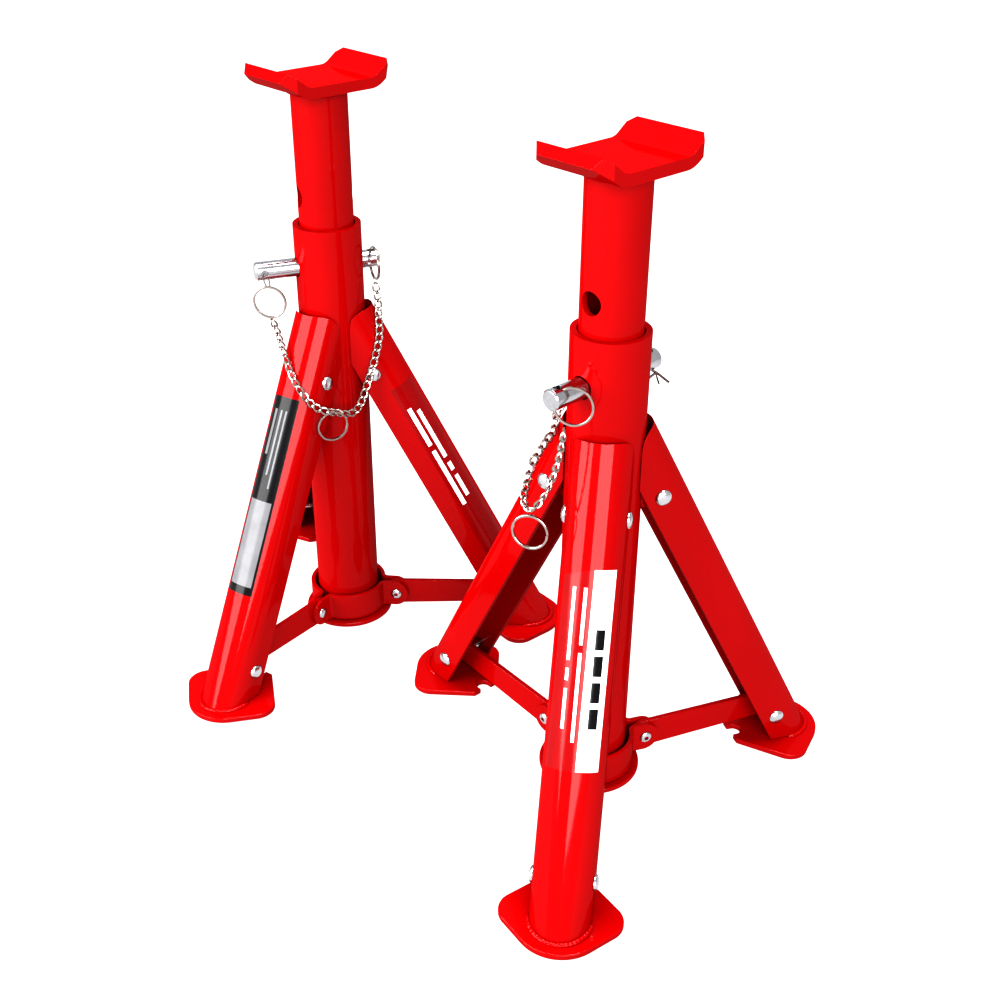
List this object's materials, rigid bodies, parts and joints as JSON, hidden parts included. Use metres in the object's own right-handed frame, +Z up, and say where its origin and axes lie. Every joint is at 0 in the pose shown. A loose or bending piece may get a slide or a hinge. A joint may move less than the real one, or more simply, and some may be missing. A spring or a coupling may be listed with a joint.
{
  "type": "axle jack stands",
  "caption": "Pair of folding tripod axle stands: pinned telescoping column with a dished saddle, channel legs, struts and a sliding collar.",
  "frame": {"origin": "on the floor under the middle of the box round the two stands, loose chains left out", "axes": "+Z up; stand 1, the near right one, lies towards +X -Y of stand 2"},
  "size_m": [0.3868, 0.4404, 0.3635],
  "materials": {
    "red_enamel": "gloss enamel over welded steel",
    "chrome": "bright plating, lightly brushed end faces",
    "nickel": "nickel-plated wire and chain",
    "rivet_zinc": "bright zinc-plated rivet heads",
    "label_red": "darker red film label, satin",
    "label_white": "white film label, satin",
    "label_black": "black film label with silver-grey panels"
  },
  "bodies": {
    "stand1_frame": {"stand1_post_tube": "red_enamel", "stand1_post_flange": "red_enamel"},
    "stand1_column": {"stand1_column_tube": "red_enamel", "stand1_saddle": "red_enamel"},
    "stand1_pin_set": {"stand1_pin": "chrome", "stand1_pin_ring": "nickel", "stand1_chain": "nickel", "stand1_chain_ring": "nickel"},
    "stand1_clip": {"stand1_hairpin": "nickel"},
    "stand1_collar": {"stand1_collar_strap_1": "red_enamel", "stand1_collar_strap_2": "red_enamel", "stand1_collar_strap_3": "red_enamel", "stand1_collar_rivet_1": "rivet_zinc", "stand1_collar_rivet_2": "rivet_zinc", "stand1_collar_rivet_3": "rivet_zinc"},
    "stand1_leg_set_1": {"stand1_leg_1": "red_enamel", "stand1_foot_1": "red_enamel", "stand1_leg_rivet_1": "rivet_zinc", "stand1_foot_rivet_1": "rivet_zinc"},
    "stand1_strut_arm_1": {"stand1_strut_1": "red_enamel"},
    "stand1_leg_set_2": {"stand1_leg_2": "red_enamel", "stand1_foot_2": "red_enamel", "stand1_leg_rivet_2": "rivet_zinc", "stand1_foot_rivet_2": "rivet_zinc"},
    "stand1_strut_arm_2": {"stand1_strut_2": "red_enamel"},
    "stand1_leg_set_3": {"stand1_leg_3": "red_enamel", "stand1_foot_3": "red_enamel", "stand1_leg_rivet_3": "rivet_zinc", "stand1_foot_rivet_3": "rivet_zinc"},
    "stand1_strut_arm_3": {"stand1_strut_3": "red_enamel"},
    "stand2_frame": {"stand2_post_tube": "red_enamel", "stand2_post_flange": "red_enamel"},
    "stand2_column": {"stand2_column_tube": "red_enamel", "stand2_saddle": "red_enamel"},
    "stand2_pin_set": {"stand2_pin": "chrome", "stand2_pin_ring": "nickel", "stand2_chain": "nickel", "stand2_chain_ring": "nickel"},
    "stand2_clip": {"stand2_rear_ring": "nickel"},
    "stand2_collar": {"stand2_collar_strap_1": "red_enamel", "stand2_collar_strap_2": "red_enamel", "stand2_collar_strap_3": "red_enamel", "stand2_collar_rivet_1": "rivet_zinc", "stand2_collar_rivet_2": "rivet_zinc", "stand2_collar_rivet_3": "rivet_zinc"},
    "stand2_leg_set_1": {"stand2_leg_1": "red_enamel", "stand2_foot_1": "red_enamel", "stand2_leg_rivet_1": "rivet_zinc", "stand2_foot_rivet_1": "rivet_zinc"},
    "stand2_strut_arm_1": {"stand2_strut_1": "red_enamel"},
    "stand2_leg_set_2": {"stand2_leg_2": "red_enamel", "stand2_foot_2": "red_enamel", "stand2_leg_rivet_2": "rivet_zinc", "stand2_foot_rivet_2": "rivet_zinc"},
    "stand2_strut_arm_2": {"stand2_strut_2": "red_enamel"},
    "stand2_leg_set_3": {"stand2_leg_3": "red_enamel", "stand2_foot_3": "red_enamel", "stand2_leg_rivet_3": "rivet_zinc", "stand2_foot_rivet_3": "rivet_zinc"},
    "stand2_strut_arm_3": {"stand2_strut_3": "red_enamel"}
  },
  "joints": [
    {"name": "stand1_legs_fold", "type": "hinge", "parent": "stand1_frame", "child": "stand1_leg_set_1", "pos_m": [0.04955, -0.1037, 0.1829], "axis": [0.9848, -0.1736, 0], "range_deg": [0, 24.4], "deforming": ["stand1_chain"]},
    {"name": "stand1_leg_2_fold", "type": "hinge", "parent": "stand1_frame", "child": "stand1_leg_set_2", "pos_m": [0.07988, -0.06912, 0.1829], "axis": [-0.3007, 0.9537, 0], "range_deg": [0, 24.4]},
    {"name": "stand1_leg_3_fold", "type": "hinge", "parent": "stand1_frame", "child": "stand1_leg_set_3", "pos_m": [0.03622, -0.05722, 0.1829], "axis": [-0.7431, -0.6691, 0], "range_deg": [0, 24.4]},
    {"name": "stand1_collar_slide", "type": "slide", "parent": "stand1_frame", "child": "stand1_collar", "axis": [0, 0, 1], "range_m": [0, 0.0631]},
    {"name": "stand1_strut_1_swing", "type": "hinge", "parent": "stand1_collar", "child": "stand1_strut_arm_1", "pos_m": [0.04846, -0.1099, 0.0155], "axis": [0.9848, -0.1736, 0], "range_deg": [0, 91.7]},
    {"name": "stand1_strut_2_swing", "type": "hinge", "parent": "stand1_collar", "child": "stand1_strut_arm_2", "pos_m": [0.08589, -0.06722, 0.0155], "axis": [-0.3007, 0.9537, 0], "range_deg": [0, 91.7]},
    {"name": "stand1_strut_3_swing", "type": "hinge", "parent": "stand1_collar", "child": "stand1_strut_arm_3", "pos_m": [0.03201, -0.05254, 0.0155], "axis": [-0.7431, -0.6691, 0], "range_deg": [0, 91.7]},
    {"name": "stand1_column_lift", "type": "slide", "parent": "stand1_frame", "child": "stand1_column", "axis": [0, 0, 1], "range_m": [0, 0.0834]},
    {"name": "stand1_pin_slide", "type": "slide", "parent": "stand1_frame", "child": "stand1_pin_set", "axis": [-0.7254, -0.6884, 0], "range_m": [-0.002, 0.0075]},
    {"name": "stand1_clip_pull", "type": "slide", "parent": "stand1_pin_set", "child": "stand1_clip", "axis": [0, 0, -1], "range_m": [0, 0.0135], "deforming": ["stand1_chain"]},
    {"name": "stand2_place", "type": "slide", "parent": "stand1_frame", "child": "stand2_frame", "axis": [-0.6978, 0.7163, 0], "range_m": [0, 0.2]},
    {"name": "stand2_legs_fold", "type": "hinge", "parent": "stand2_frame", "child": "stand2_leg_set_1", "pos_m": [-0.11563, 0.0596, 0.1829], "axis": [0.8434, -0.5373, 0], "range_deg": [0, 24.4], "deforming": ["stand2_chain"]},
    {"name": "stand2_leg_2_fold", "type": "hinge", "parent": "stand2_frame", "child": "stand2_leg_set_2", "pos_m": [-0.07438, 0.07995, 0.1829], "axis": [0.0872, 0.9962, 0], "range_deg": [0, 24.4]},
    {"name": "stand2_leg_3_fold", "type": "hinge", "parent": "stand2_frame", "child": "stand2_leg_set_3", "pos_m": [-0.11016, 0.10765, 0.1829], "axis": [-0.9426, -0.3338, 0], "range_deg": [0, 24.4]},
    {"name": "stand2_collar_slide", "type": "slide", "parent": "stand2_frame", "child": "stand2_collar", "axis": [0, 0, 1], "range_m": [0, 0.0631]},
    {"name": "stand2_strut_1_swing", "type": "hinge", "parent": "stand2_collar", "child": "stand2_strut_arm_1", "pos_m": [-0.11901, 0.05429, 0.0155], "axis": [0.8434, -0.5373, 0], "range_deg": [0, 91.7]},
    {"name": "stand2_strut_2_swing", "type": "hinge", "parent": "stand2_collar", "child": "stand2_strut_arm_2", "pos_m": [-0.0681, 0.0794, 0.0155], "axis": [0.0872, 0.9962, 0], "range_deg": [0, 91.7]},
    {"name": "stand2_strut_3_swing", "type": "hinge", "parent": "stand2_collar", "child": "stand2_strut_arm_3", "pos_m": [-0.11226, 0.11359, 0.0155], "axis": [-0.9426, -0.3338, 0], "range_deg": [0, 91.7]},
    {"name": "stand2_column_lift", "type": "slide", "parent": "stand2_frame", "child": "stand2_column", "axis": [0, 0, 1], "range_m": [0, 0.0834]},
    {"name": "stand2_pin_slide", "type": "slide", "parent": "stand2_frame", "child": "stand2_pin_set", "axis": [-0.9336, -0.3584, 0], "range_m": [-0.002, 0.004]},
    {"name": "stand2_ring_swing", "type": "hinge", "parent": "stand2_pin_set", "child": "stand2_clip", "pos_m": [-0.07756, 0.09136, 0.247], "axis": [0, 0, 1], "range_deg": [-15, 60], "deforming": ["stand2_chain"]}
  ],
  "couplings": [
    {"joint": "stand1_leg_2_fold", "follows": "stand1_legs_fold", "ratio": 1},
    {"joint": "stand1_leg_3_fold", "follows": "stand1_legs_fold", "ratio": 1},
    {"joint": "stand1_collar_slide", "follows": "stand1_legs_fold", "m_per_rad": 0.14791},
    {"joint": "stand1_strut_1_swing", "follows": "stand1_legs_fold", "ratio": 3.7529},
    {"joint": "stand1_strut_2_swing", "follows": "stand1_legs_fold", "ratio": 3.7529},
    {"joint": "stand1_strut_3_swing", "follows": "stand1_legs_fold", "ratio": 3.7529},
    {"joint": "stand2_leg_2_fold", "follows": "stand2_legs_fold", "ratio": 1},
    {"joint": "stand2_leg_3_fold", "follows": "stand2_legs_fold", "ratio": 1},
    {"joint": "stand2_collar_slide", "follows": "stand2_legs_fold", "m_per_rad": 0.14791},
    {"joint": "stand2_strut_1_swing", "follows": "stand2_legs_fold", "ratio": 3.7529},
    {"joint": "stand2_strut_2_swing", "follows": "stand2_legs_fold", "ratio": 3.7529},
    {"joint": "stand2_strut_3_swing", "follows": "stand2_legs_fold", "ratio": 3.7529}
  ]
}
